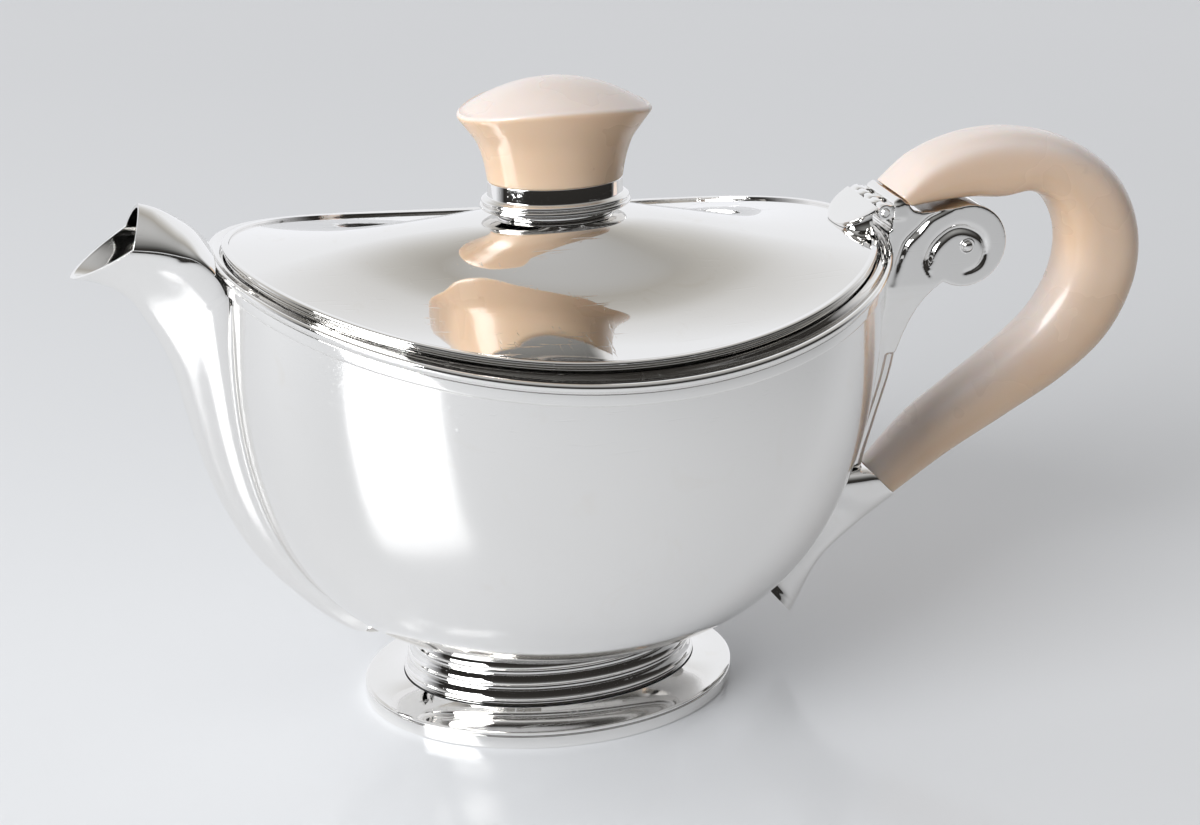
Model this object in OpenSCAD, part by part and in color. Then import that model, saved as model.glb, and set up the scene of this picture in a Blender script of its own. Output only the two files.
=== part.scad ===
// Boat-shaped oval teapot with a keeled spout, a hinged lid and a carved handle.
// X runs from the spout (-X) to the handle (+X), Y across the bowl, Z up from the table.
// The origin is the middle of the foot, on the table.

/* [Foot] */
// Length of the foot's edge
foot_length = 90; // [74:1:108]
// Width of the foot's edge
foot_width = 68.8; // [56:0.4:82]
// Height of the upright edge band
foot_band = 3.2; // [2:0.2:5]
// How far the neck stands in from the edge
neck_inset = 11.5; // [9:0.5:14]
// Sheet thickness of the foot
foot_wall = 1.2; // [0.8:0.1:1.8]

/* [Bowl] */
// Length of the bowl at its widest
bowl_length = 152.6; // [127:1:184]
// Width of the bowl at its widest
bowl_width = 130; // [108:1:156]
// Height of the bowl's underside above the table
bowl_base = 17.8; // [14:0.2:22]
// Height of the rim's top at the middle of the sides
rim_height = 100.6; // [84:0.6:121]
// Rise of the rim at the spout end
front_rise = 13.2; // [10:0.2:16]
// Rise of the rim at the handle end
back_rise = 8.4; // [6:0.2:11]
// Sheet thickness of the bowl
bowl_wall = 1; // [0.7:0.1:1.6]
// Offset of the bowl's middle towards the handle
bowl_shift = 2.1; // [0:0.1:4]

/* [Rim] */
// Height of the rim moulding
moulding_height = 2.2; // [1.6:0.1:3]
// How far the moulding stands out from the bowl
moulding_out = 1.7; // [1:0.1:2.5]
// Height of the plain band under the moulding
band_height = 3; // [2:0.2:5]
// Thickness of the plain band
band_thick = 0.8; // [0.5:0.1:1.2]

/* [Lid] */
// Margin from the bowl's outline to the lid at the ends
lid_margin_end = 1.3; // [0.8:0.1:2]
// Margin from the bowl's outline to the lid at the sides
lid_margin_side = 6.3; // [5:0.1:8]
// How far the lid's edge stands above the rim
lid_edge_rise = 1.9; // [1.2:0.1:2.6]
// Height of the lid's edge moulding
lid_edge_height = 2; // [1.6:0.1:2.6]
// Height of the lid's crown above the rim's middle
crown_rise = 17.4; // [13:0.2:20]
// Sheet thickness of the lid
lid_wall = 0.9; // [0.6:0.1:1.3]
// Depth of the bezel inside the mouth
bezel_depth = 5; // [3:0.5:8]

/* [Knob] */
// Length of the knob at its rim
knob_length = 44.2; // [36:0.5:53]
// Width of the knob as a share of its length
knob_ratio = 0.7; // [0.55:0.05:1]
// Height of the knob's waist and flare up to its rim
knob_height = 15; // [12:0.5:18]
// Height of the dome above the knob's rim
knob_dome = 7.8; // [5:0.2:10]
// Length of the collar's plain band
collar_length = 31; // [26:0.5:34]
// Height of the collar
collar_height = 8.1; // [7:0.1:10]
// Radius of the threaded stud
stud_r = 2; // [1.5:0.1:2.6]

/* [Spout] */
// How far the lip reaches in front of the bowl
spout_reach = 31.3; // [26:0.5:37]
// Height of the lip's tip above the rim's middle
lip_rise = 11.2; // [8:0.2:14]
// Half width of the spout where it leaves the rim
spout_half = 12; // [10:0.5:14]
// Half width of the mouth
mouth_half = 9.7; // [8:0.1:11]
// Sheet thickness of the spout
spout_wall = 1; // [0.7:0.1:1.4]
// Radius of one strainer hole
strainer_r = 1.4; // [1:0.1:1.8]

/* [Handle] */
// How far the handle reaches behind the bowl
handle_reach = 69.8; // [60:0.5:80]
// Width of the handle
handle_width = 16.4; // [13:0.2:19]
// Radius of the volute under the handle
volute_r = 10; // [8.5:0.1:11]
// Width of the bracket
bracket_width = 17; // [14:0.2:20]
// Radius of the pin through the volute
pin_r = 1.2; // [0.8:0.1:1.6]

/* [Hinge] */
// Width of the whole hinge
hinge_width = 19; // [16:0.5:23]
// Outer radius of the knuckles
knuckle_r = 1.8; // [1.5:0.1:2.2]
// Radius of the hinge pin
hinge_pin_r = 1; // [0.7:0.05:1.1]
// Gap between neighbouring knuckles
knuckle_gap = 0.3; // [0.2:0.05:0.5]

/* [Clearances] */
// Gap all round between the lid's edge and the rim
lid_gap = 0.5; // [0.35:0.05:0.8]
// Height of the lid above its seat
seat_gap = 0.35; // [0.3:0.05:0.5]
// Radial play of the lid's knuckles on the pin
pin_play = 0.05; // [0.02:0.01:0.08]
// Hairline left between pieces that are soldered together
joint_gap = 0.03; // [0.02:0.01:0.05]

/* [Hidden] */

silver = [0.84, 0.84, 0.85];
dark_silver = [0.7, 0.7, 0.71];
ivory = [0.93, 0.84, 0.74];

around = 64;          // points round a large oval
around_small = 40;    // points round a knob-sized oval
$fn = 48;

foot_a = foot_length / 2;
foot_b = foot_width / 2;
bowl_a = bowl_length / 2;
bowl_b = bowl_width / 2;
bowl_flat = 3.6;      // fullness of the bowl's bottom
bowl_swell = 2.15;    // fullness of the bowl's side
widest_z = rim_height - 2.6;
front_x = bowl_shift - bowl_a;
back_x = bowl_shift + bowl_a;

lid_a = bowl_a - lid_margin_end;
lid_b = bowl_b - lid_margin_side;
lid_x = bowl_shift + 0.2;
lid_edge_width = 1.6;
crown_z = rim_height + crown_rise;
dish_drop = 0.5;      // from the top of the lid's edge moulding down to the dish
// The dish from the flat crown out: [share of the lid's length, share of the height,
// width of the contour against the lid's own outline].
dish_marks = [[0, 1, 1], [0.18, 1, 1], [0.22, 0.97, 0.96], [0.26, 0.92, 0.92], [0.3, 0.86, 0.88],
    [0.35, 0.77, 0.855], [0.4, 0.68, 0.835], [0.45, 0.59, 0.82], [0.5, 0.49, 0.82],
    [0.55, 0.39, 0.825], [0.6, 0.295, 0.84], [0.66, 0.193, 0.87], [0.72, 0.12, 0.9],
    [0.8, 0.056, 0.95], [0.9, 0.013, 0.985], [1, 0, 1]];
stud_hole = 0.07;     // the stud hole's share of the lid
bezel_in = 4.2;
bezel_thick = 1;
body_scale = (rim_height - bowl_base) / 82.8;   // stretches what runs up the bowl's side
seat_in = 3.4;
seat_thick = 1.2;

hinge_x = back_x + 0.3;
hinge_z = rim_height + back_rise + 5.3;
leaf_top = hinge_z + 1.5;
cutback = knuckle_r + 0.3;
knuckle_count = 5;
knuckle_pitch = hinge_width / knuckle_count;

volute_x = back_x + 21.8;
volute_z = rim_height + 3.6;
bracket_half = bracket_width / 2;
tang_half = 2.9;
slot_half = tang_half + 0.1;

collar_z = crown_z;
knob_z = collar_z + collar_height;
stud_top = knob_z + 10;

flare_rise = 1.6;
flare_thick = 0.9;
strainer_rows = 6;
strainer_pitch = 4.6;
strainer_z = rim_height - 50;
leaf_length = 7.5;
strap_drop = 5.4;     // from the rim's middle down to the strap's top
scroll_r = 6.4;
scroll_thick = 0.8;
bead_r = 0.7;

// ---- shared functions -------------------------------------------------------------

function last(v) = v[len(v) - 1];
function flip(v) = [for (i = [len(v) - 1 : -1 : 0]) v[i]];
function pow_signed(v, p) = sign(v) * pow(abs(v), p);
function mix(a, b, t) = a + (b - a) * t;
function unit(v) = v / norm(v);

// Rise of the rim line at a point whose X runs from -1 at the spout to +1 at the handle.
function lift(u) = (front_rise + back_rise) / 2 * u * u - (front_rise - back_rise) / 2 * u;
function rim_z(x) = rim_height + lift((x - bowl_shift) / bowl_a);

// Half-size share of the bowl at height z, and the height at which a share is reached.
function bowl_share(z, base, top) =
    z >= top ? 1 : pow(1 - pow(1 - (z - base) / (top - base), bowl_swell), 1 / bowl_flat);
function bowl_under(x, y) =
    let (share = norm([(x - bowl_shift) / bowl_a, y / bowl_b]))
    bowl_base + (widest_z - bowl_base) * (1 - pow(1 - pow(share, bowl_flat), 1 / bowl_swell));
// X of the bowl's outside at height z and distance y from the middle, at end s (-1 or 1).
function bowl_end(z, y, s) =
    let (k = bowl_share(z, bowl_base, widest_z))
    bowl_shift + s * bowl_a * k * sqrt(max(0, 1 - pow(y / (bowl_b * k), 2)));

// A smooth curve through the points, with n steps to each span.
function spline_at(p, i, t) =
    let (a = p[max(0, i - 1)], b = p[i], c = p[min(len(p) - 1, i + 1)],
        d = p[min(len(p) - 1, i + 2)])
    0.5 * (2 * b + (c - a) * t + (2 * a - 5 * b + 4 * c - d) * t * t
        + (3 * b - a - 3 * c + d) * t * t * t);
function spline(p, n) =
    concat([for (i = [0 : len(p) - 2]) for (k = [0 : n - 1]) spline_at(p, i, k / n)], [last(p)]);

// A surface through rings of equal length. Each end is closed by strips across the ring,
// or the last ring joins the first.
module skin(rings, loop = false) {
    m = len(rings);
    n = len(rings[0]);
    spans = loop ? m : m - 1;
    sides = [for (i = [0 : spans - 1]) for (j = [0 : n - 1])
        let (a = i * n + j, b = i * n + (j + 1) % n, k = (i + 1) % m)
        each [[a, k * n + j, k * n + (j + 1) % n], [a, k * n + (j + 1) % n, b]]];
    strips = loop ? [] : [for (j = [0 : n / 2 - 2])
        each [[j, j + 1, n - 2 - j], [j, n - 2 - j, n - 1 - j]]];
    ends = [for (f = strips) each [f, [for (v = flip(f)) v + (m - 1) * n]]];
    polyhedron([for (r = rings) each r], concat(sides, ends), convexity = 8);
}

// A moulding that runs round an oval. Each profile point is [inset, height above the line].
module oval_moulding(a, b, cx, profile, line, n = around) {
    skin([for (i = [0 : n - 1]) let (t = 360 * i / n)
        [for (p = profile)
            [cx + (a - p[0]) * cos(t), (b - p[0]) * sin(t), line(t, p[0]) + p[1]]]], true);
}

// A turned oval solid. Each ring is [half length, half width, height, saddle].
module oval_turned(rings, cx = 0, n = around_small) {
    skin([for (r = rings) [for (i = [0 : n - 1]) let (t = 360 * i / n)
        [cx + r[0] * cos(t), r[1] * sin(t), r[2] + r[3] * pow(sin(t), 2)]]]);
}

// ---- foot -------------------------------------------------------------------------

module foot_outline(inset) {
    polygon([for (i = [0 : around - 1]) let (t = 360 * i / around)
        [(foot_a - inset) * cos(t), (foot_b - inset) * sin(t)]]);
}

// Upright band that stands on the table.
module foot_edge() {
    color(silver) linear_extrude(foot_band) difference() {
        foot_outline(0);
        foot_outline(foot_wall);
    }
}

// Wide hollow slope from the band up to the neck.
module foot_flare() {
    under = [for (k = [0 : 5]) let (s = k / 5)
        [mix(0.2, neck_inset - 2.2, s), foot_band + joint_gap + flare_rise * pow(s, 2.6)]];
    color(silver) oval_moulding(foot_a, foot_b, 0,
        concat(flip([for (p = under) [p[0], p[1] + flare_thick]]), under),
        function(t, inset) 0);
}

// Stepped neck: three beads with hollows between them, up to the bowl.
module foot_rings() {
    low = foot_band + flare_rise + flare_thick + 3 * joint_gap;
    step = (bowl_base - low) / 3.4;
    beads = [for (k = [0 : 2]) let (z = low + step * k, in = neck_inset - 2.1 + 0.9 * k)
        each [[in + 0.4, z], [in, z + 0.12 * step], [in, z + 0.34 * step],
            [in + 0.5, z + 0.46 * step], [in + 1.3, z + 0.72 * step]]];
    inner = neck_inset + 1.7;
    color(silver) skin([for (i = [0 : around - 1]) let (t = 360 * i / around,
        top = bowl_under((foot_a - inner) * cos(t), (foot_b - inner) * sin(t)) - 2 * joint_gap,
        outer = concat(beads, [[neck_inset + 0.5, top]]),
        ring = concat([[inner, top]], flip(outer), [[inner, low]]))
        [for (p = ring) [(foot_a - p[0]) * cos(t), (foot_b - p[0]) * sin(t), p[1]]]], true);
}

// ---- bowl and rim -----------------------------------------------------------------

// One level of the bowl. Level s runs from 0 at the base to 1 at the top edge.
function bowl_ring(s, inset) = [for (i = [0 : around - 1])
    let (t = 360 * i / around, base = bowl_base + inset,
        top = rim_z(bowl_shift + (bowl_a - inset) * cos(t)) - moulding_height - 2 * joint_gap,
        z = mix(base, top, s), k = bowl_share(z, base, widest_z))
    [bowl_shift + (bowl_a - inset) * k * cos(t), (bowl_b - inset) * k * sin(t), z]];

bowl_levels = [0.0004, 0.003, 0.012, 0.035, 0.075, 0.135, 0.22, 0.34, 0.5, 0.68, 0.84, 1];

// Raised bowl, pierced with a strainer where the spout covers it.
module bowl() {
    color(silver) difference() {
        skin(concat([for (s = bowl_levels) bowl_ring(s, 0)],
            [for (s = flip(bowl_levels)) bowl_ring(s, bowl_wall)]));
        for (row = [0 : strainer_rows - 1]) for (col = [-1 : 1])
            translate([front_x + 6, col * strainer_pitch + (row % 2 - 0.5) * strainer_pitch / 2,
                strainer_z + row * strainer_pitch * 0.9])
                rotate([0, -90, 0]) cylinder(r = strainer_r, h = 12, center = true);
    }
}

// Plain band that wraps the bowl on each side, between the spout and the bracket.
module rim_band() {
    profile = [[joint_gap, 0], [band_thick, 0], [band_thick, -band_height + 0.5],
        [joint_gap, -band_height]];
    for (side = [0, 180]) color(silver) skin([for (i = [-14 : 14])
        let (t = side + 90 + 360 * i / around)
        [for (p = profile) let (x = bowl_shift + (bowl_a + p[0]) * cos(t))
            [x, (bowl_b + p[0]) * sin(t), rim_z(x) - moulding_height - 3 * joint_gap + p[1]]]]);
}

// Top moulding: a flat ledge beside the lid and a rounded outer edge.
module rim_moulding() {
    m = moulding_out;
    out = [[m - 0.7, 0], [m - 0.15, -0.3], [m, -0.8], [m - 0.15, -1.4],
        [m - 0.7, -moulding_height]];
    color(silver) skin([for (i = [0 : around - 1]) let (t = 360 * i / around,
        x_in = lid_x + (lid_a + lid_gap) * cos(t), y_in = (lid_b + lid_gap) * sin(t))
        concat([[x_in, y_in, rim_z(x_in) - 0.15]],
            [for (p = out) let (x = bowl_shift + (bowl_a + p[0]) * cos(t))
                [x, (bowl_b + p[0]) * sin(t), rim_z(x) + p[1]]],
            [[x_in, y_in, rim_z(x_in) - moulding_height]])], true);
}

// Ledge inside the mouth that the lid's edge rests on.
module lid_seat() {
    out = bowl_wall + 2 * joint_gap;
    a = lid_a + lid_gap - 2 * joint_gap;
    b = lid_b + lid_gap - 2 * joint_gap;
    high = lid_edge_rise - lid_edge_height - seat_gap;
    low = -moulding_height - 2 * joint_gap;
    profile = [[seat_in, high], [0, high], [0, low]];
    color(dark_silver) skin([for (i = [0 : around - 1]) let (t = 360 * i / around,
        x_out = bowl_shift + (bowl_a - out) * cos(t), y_out = (bowl_b - out) * sin(t),
        x_in = lid_x + (a - seat_in) * cos(t))
        concat([for (p = profile) let (x = lid_x + (a - p[0]) * cos(t))
                [x, (b - p[0]) * sin(t), rim_z(x) + p[1]]],
            [for (d = [0, seat_thick]) [x_out, y_out, rim_z(x_out) + low - d]],
            [[x_in, (b - seat_in) * sin(t), rim_z(x_in) + low - seat_thick]])], true);
}

// ---- lid --------------------------------------------------------------------------

dish_rise = [for (m = spline(dish_marks, 5)) [m[0], m[1]]];
dish_width = [for (m = spline(dish_marks, 5)) [m[0], m[2]]];
function lid_edge_line(t, inset) = lid_edge_rise + rim_z(lid_x + lid_a * cos(t));
// Height of the lid's top, where share runs from 0 at the middle to 1 at the edge.
function lid_dish(t, share) =
    mix(lid_edge_line(t, 0) - dish_drop, crown_z, lookup(share, dish_rise));
function lid_top(x, y) =
    let (p = [(x - lid_x) / lid_a, y / lid_b])
    lid_dish(atan2(p[1], p[0]), norm(p));
function lid_ring(p, drop) = [for (i = [0 : around - 1]) let (t = 360 * i / around)
    [lid_x + (lid_a * p[0] - p[1]) * cos(t),
        (lid_b * p[0] * lookup(p[0], dish_width) - p[1]) * sin(t),
        lid_dish(t, p[0] - p[1] / lid_a) - drop]];

// Rings of the lid from the stud hole out: [share, inset].
lid_rings = concat([for (share = [stud_hole, 0.18, 0.22, 0.28, 0.35, 0.43, 0.51, 0.59, 0.68, 0.8])
    [share, 0]], [[1, lid_edge_width + joint_gap]]);

// Dished lid that rises to a flat crown under the collar.
module lid_shell() {
    color(silver) skin(concat([for (p = flip(lid_rings)) lid_ring(p, 0)],
        [for (p = lid_rings) lid_ring(p, lid_wall)]), true);
}

// Stepped moulding round the lid's edge.
module lid_edge() {
    profile = [[lid_edge_width, 0.05], [0.5, 0.15], [0.1, 0], [0, -0.35],
        [0, -0.6 * lid_edge_height], [0.4, -0.65 * lid_edge_height],
        [0.4, -lid_edge_height], [lid_edge_width, -lid_edge_height]];
    color(silver) oval_moulding(lid_a, lid_b, lid_x, profile, function(t, inset)
        lid_edge_line(t, inset));
}

// Bezel that drops inside the seat and keeps the lid in place.
module lid_bezel() {
    top = -lid_wall - dish_drop - 0.2;
    color(dark_silver) oval_moulding(lid_a, lid_b, lid_x,
        [[bezel_in + bezel_thick, top], [bezel_in, top], [bezel_in, -bezel_depth],
            [bezel_in + bezel_thick, -bezel_depth]],
        function(t, inset) lid_edge_line(t, inset));
}

// Flat-topped tongue on the lid, scooped at its sides, that carries the hinge.
module lid_leaf() {
    rear = hinge_x - cutback;
    steps = 10;
    across = 8;
    half = hinge_width / 2;
    color(silver) skin([for (i = [0 : steps])
        let (s = i / steps, x = rear - leaf_length * (1 - s),
            w = half * sqrt(1 - pow(1 - max(s, 0.015), 2.4)),
            base = lid_top(x, 0) + 0.15 + dish_drop, ys = [for (k = [0 : across]) 1 - 2 * k / across])
        concat([for (v = ys) [x, w * v, mix(base + 0.5, leaf_top, pow(s, 0.9))]],
            [for (v = flip(ys)) let (y = w * v * mix(1, 0.84, s))
                [x, y, lid_top(x, y) + 0.15 + dish_drop]])]);
}

// ---- hinge ------------------------------------------------------------------------

// The knuckle tubes picked from the row, each with an arm towards side s.
module knuckles(picks, s, bore, reach) {
    for (k = picks) difference() {
        translate([hinge_x, knuckle_pitch * (k - (knuckle_count - 1) / 2), hinge_z])
            rotate([90, 0, 0]) union() {
                cylinder(r = knuckle_r, h = knuckle_pitch - knuckle_gap, center = true);
                translate([s * reach / 2, 0.15, 0])
                    cube([reach, 2.7, knuckle_pitch - knuckle_gap], center = true);
            }
        translate([hinge_x, 0, hinge_z]) rotate([90, 0, 0])
            cylinder(r = bore, h = 2 * hinge_width, center = true);
    }
}

// Three knuckles fixed to the bracket.
module hinge_knuckles() {
    color(silver) knuckles([0, 2, 4], 1, hinge_pin_r + 0.01, cutback);
}

// Two knuckles fixed to the lid's leaf.
module lid_knuckles() {
    color(silver) knuckles([1, 3], -1, hinge_pin_r + pin_play, cutback - joint_gap);
}

module hinge_pin() {
    color(dark_silver) translate([hinge_x, 0, hinge_z]) rotate([90, 0, 0])
        cylinder(r = hinge_pin_r, h = hinge_width + 0.4, center = true);
}

// ---- bracket and handle -----------------------------------------------------------

// Side view of the bracket: hinge block, seat for the handle, and volute.
module bracket_side() {
    front = hinge_x + cutback + joint_gap;
    low = rim_height - strap_drop;
    root = back_x + moulding_out + 2 * joint_gap;
    seat_low = volute_z + volute_r - 0.7;
    union() {
        translate([volute_x, volute_z]) circle(r = volute_r);
        polygon([[root, low], [volute_x - 6.5, low], [volute_x - 2, volute_z],
            [volute_x - 1, seat_low + 0.4], [volute_x - 8, seat_low - 0.1],
            [front + 5.6, seat_low + 0.3], [front + 1.7, leaf_top + 1.6], [front, leaf_top],
            [front, rim_height + back_rise + 0.6], [root, rim_height + back_rise + 0.4]]);
    }
}

// Bracket that carries the hinge and holds the handle's upper end in a slot.
module upper_bracket() {
    front = hinge_x + cutback + joint_gap;
    color(silver) difference() {
        union() {
            rotate([90, 0, 0]) linear_extrude(bracket_width, center = true) bracket_side();
            translate([0, 0, hinge_z - 2]) linear_extrude(leaf_top - hinge_z + 2)
                polygon([[front, hinge_width / 2], [front, -hinge_width / 2],
                    [front + 3.4, -bracket_half], [front + 3.4, bracket_half]]);
        }
        translate([volute_x - 7.2, -slot_half, volute_z - 7.2])
            cube([13.2, 2 * slot_half, 2 * volute_r]);
        translate([volute_x, 0, volute_z]) rotate([90, 0, 0])
            cylinder(r = pin_r + 0.02, h = 2 * bracket_width, center = true);
    }
}

// Raised round of the scroll on each side of the volute.
module volute_scrolls() {
    color(silver) for (s = [-1, 1]) translate([volute_x, s * (bracket_half + joint_gap
        + scroll_thick / 2), volute_z]) rotate([90, 0, 0]) difference() {
        translate([-1.5, -1.5, 0]) cylinder(r = scroll_r, h = scroll_thick, center = true);
        cylinder(r = pin_r + 0.02, h = 2 * scroll_thick, center = true);
    }
}

// Riveted pin through the volute and the handle's tang.
module handle_pin() {
    half = bracket_half + scroll_thick + joint_gap;
    color(dark_silver) translate([volute_x, 0, volute_z]) rotate([90, 0, 0])
        cylinder(r = pin_r, h = 2 * half + 0.8, center = true);
}

// Side view of the handle, upper end first: [outer X, Z, inner X, Z, half width].
// It sits on the volute's top, and what hangs below the rim follows the bowl's height.
reach = back_x + handle_reach;
seat_z = volute_z + volute_r - rim_height;
function side_z(z) = rim_height + (z < 0 ? z * body_scale : z);
handle_marks = [for (m = [
        [-65.6, 17.2, -61.6, seat_z, 1], [-58, 24.2, -54.5, seat_z + 0.3, 1],
        [-47, 28.4, -46.5, seat_z + 0.5, 1], [-34.5, 29.2, -38, seat_z - 0.2, 1],
        [-20, 25.7, -30.5, seat_z + 0.6, 1], [-7.8, 17, -24.2, 10.5, 1],
        [-1, 4.4, -20.4, 2.4, 1], [-0.4, -9.6, -20.9, -7.3, 1], [-6.2, -23.3, -26, -17, 0.98],
        [-17.2, -33.6, -35.2, -25.3, 0.95], [-32.2, -42.7, -46.7, -33.4, 0.88],
        [-47.2, -51.4, -57.2, -41, 0.8], [-61.1, -60.6, -68.3, -52.9, 0.72]])
    [reach + m[0], side_z(m[1]), reach + m[2], side_z(m[3]), bracket_half * m[4]]];

// A section across the handle: outer point, inner point, half width, squareness, web share.
function section(m, n, power, web = 1) =
    [for (i = [0 : n - 1]) let (t = 360 * i / n, q = pow_signed(cos(t), power),
        f = mix(1, web, pow((1 - q) / 2, 0.7)))
        [mix(m[2], m[0], (1 + q) / 2), -m[4] * f * pow_signed(sin(t), power),
            mix(m[3], m[1], (1 + q) / 2)]];
// The same section pulled in all round by an inset, and moved along by a distance.
function inset_mark(m, inset, along = 0) =
    let (o = [m[0], m[1]], n = [m[2], m[3]], d = unit(o - n), e = [-d[1], d[0]])
    concat(o - inset * d - along * e, n + inset * d - along * e, [m[4] - inset]);

mouth_mark = last(handle_marks);
spigot_long = 4;

// Carved handle: grip, upper tang and lower spigot.
module handle() {
    path = spline(handle_marks, 4);
    n = 20;
    grip = [for (i = [0 : len(path) - 1]) let (s = i / (len(path) - 1))
        section(path[i], n, mix(0.62, 0.85, s))];
    spigot = [for (along = [0, spigot_long]) section(inset_mark(mouth_mark, 1.4, along), n, 0.85)];
    color(ivory) difference() {
        union() {
            skin(concat(grip, spigot));
            translate([volute_x - 7.1, -tang_half, volute_z - 7.1])
                cube([13, 2 * tang_half, 7.1 + volute_r + 2.5]);
        }
        translate([volute_x, 0, volute_z]) rotate([90, 0, 0])
            cylinder(r = pin_r + 0.02, h = 2 * bracket_width, center = true);
    }
}

// Tapered fin that runs down the back of the bowl from the bracket to the socket.
module rear_strap() {
    high = rim_height - strap_drop - joint_gap;
    low = mouth_mark[3] + 0.2;
    steps = 12;
    n = 8;
    outline = spline([[mouth_mark[2] - 0.4, 4.2], [mouth_mark[2] + 2.4, 4.8],
        [volute_x - 14.6, 5.6], [volute_x - 12.4, 6.6], [volute_x - 0.7 * volute_r, 7.8]], 3);
    color(silver) skin([for (i = [0 : steps]) let (z = mix(low, high, i / steps),
        o = outline[i], root = function(y) bowl_end(z, y, 1) + 2 * joint_gap,
        path = [for (k = [0 : n]) let (t = 180 * k / n - 90)
            [o[1] * sin(t) * (1 - 0.25 * pow(cos(t), 2)), max(0.06, pow(cos(t), 0.8))]])
        concat([for (p = path) [mix(root(p[0]), o[0], p[1]), p[0], z]],
            [for (p = flip(path)) [root(p[0]), p[0], z]])]);
}

// Socket for the handle's lower end, drawn out into a fin with a small flared tip.
module lower_socket() {
    m = mouth_mark;
    fin = [for (k = [
            [-3.9, -3.2, 0.94, 1], [-8.8, -7.1, 0.84, 0.62], [-15.6, -12.9, 0.78, 0.34],
            [-19.7, -18.1, 0.74, 0.34], [-23.3, -25.4, 0.74, 0.4], [-25.6, -29.7, 0.8, 0.5]])
        [m[0] + k[0], m[1] + k[1] * body_scale, k[2], k[3]]];
    roots = [for (k = [0.2, 7, 14, 19, 22.4, 23.2]) m[3] - k * body_scale];
    cup = [for (along = [spigot_long + 0.3, 0]) section(inset_mark(m, 1.3, along), 20, 0.85)];
    tail = [for (i = [0 : len(fin) - 1]) let (z = roots[i], f = fin[i])
        section([f[0], f[1], bowl_end(z, 0, 1) + 0.5, z, m[4] * f[2]], 20, 0.8, f[3])];
    color(silver) skin(concat(cup, [section(m, 20, 0.85)], tail));
}

// ---- spout ------------------------------------------------------------------------

lip_x = front_x - spout_reach;
lip_z = rim_height + lip_rise;
rim_front = rim_height + front_rise;

// X of the spout's side where it meets the bowl at height z, for a half width w.
function spout_root(z, w) = bowl_end(z, w - spout_wall, -1) - 5 * joint_gap;

// Marks along the spout, foot end first: keel X, keel Z, side X, side Z, half width.
// The low marks lie on the bowl, the high ones lead to the mouth.
low_marks = [for (m = [[34, 0.5, 2.8, 2.2], [26, 2, 4.8, 3.4], [15, 11.5, 13, 5], [4, 25, 26, 6.6],
        [-3.6, 41, 41, 8], [-8, 57, 56, 9.3], [-11, 71, 70, 10.6]])
    let (z = bowl_base + m[2] * body_scale, w = m[3] * spout_half / 12)
    [front_x + m[0], bowl_base + m[1] * body_scale, spout_root(z, w), z, w]];
high_marks = [
    [front_x - 13.6, rim_front - 18, front_x + 1.1 - 0.4, rim_front - 9, spout_half],
    [front_x - 16.4, rim_front - 12.5, front_x - moulding_out + 1.1, rim_front - 2.4, spout_half],
    [lip_x + 12, lip_z - 5.9, lip_x + 26.4, rim_front + 2.6, spout_half],
    [lip_x + 8.4, lip_z - 3, lip_x + 22.6, lip_z + 6, mix(mouth_half, spout_half, 0.62)],
    [lip_x + 4.4, lip_z - 1.1, lip_x + 18, lip_z + 7.1, mix(mouth_half, spout_half, 0.3)],
    [lip_x, lip_z, lip_x + 13, lip_z + 7.7, mouth_half]];
root_top = rim_front - moulding_height - band_height;
spout_path = [for (m = spline(concat(low_marks, high_marks), 3))
    [m[0], m[1], m[3] < root_top ? spout_root(m[3], m[4]) : m[2], m[3], m[4]]];

// One section of a curved wall: from side to side through the far point.
function wall_section(far, side, w, thick, power, n) =
    let (d = unit(side - far),
        path = function(f, h) [for (k = [0 : n]) let (t = 180 * k / n,
            q = pow(sin(t), power), c = pow_signed(cos(t), power))
            [mix(side[0], f[0], q), h * c, mix(side[1], f[1], q)]])
    concat(path(far, w), flip(path(far + thick * d, w - thick)));

// Lower shell of the spout: a keel up the bowl that opens into the lip.
module spout_trough() {
    count = len(spout_path);
    color(silver) skin([for (i = [0 : count - 1]) let (m = spout_path[i])
        wall_section([m[0], m[1]], [m[2], m[3]], m[4], spout_wall, mix(0.95, 1.15, i / count), 14)]);
}

// Arched cover from the rim to the top of the mouth.
module spout_roof() {
    tops = spline([[front_x + 0.2, rim_front + 0.8], [front_x - 3.8, rim_front + 5.9],
        [lip_x + 22.9, lip_z + 11.6], [lip_x + 19, lip_z + 14], [lip_x + 15.6, lip_z + 15.2]], 3);
    count = len(tops);
    start = len(spout_path) - count;
    color(silver) skin(flip([for (i = [1 : count - 1]) let (m = spout_path[start + i])
        wall_section(tops[i], [m[2], m[3] + 2 * joint_gap], m[4], spout_wall,
            mix(1, 1.3, i / count), 14)]));
}

// Thin bead on the bowl along each side of the spout.
module spout_beads() {
    path = spline(concat([for (i = [1 : len(low_marks) - 1]) low_marks[i]],
        [[0, 0, 0, root_top - 2, spout_half]]), 4);
    n = 8;
    color(silver) for (s = [-1, 1]) {
        rings = [for (m = path) let (y = m[4] + bead_r + 2 * joint_gap,
            x = bowl_end(m[3], y, -1) - bead_r - 2 * joint_gap)
            [for (k = [0 : n - 1]) [x + bead_r * cos(360 * k / n),
                s * y + bead_r * sin(360 * k / n), m[3]]]];
        skin(rings);
    }
}

// ---- knob -------------------------------------------------------------------------

function knob_ring(half, z, saddle = 0) = [half, half * knob_ratio, z, saddle];
function round_ring(r, z) = [r, r, z, 0];

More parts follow.
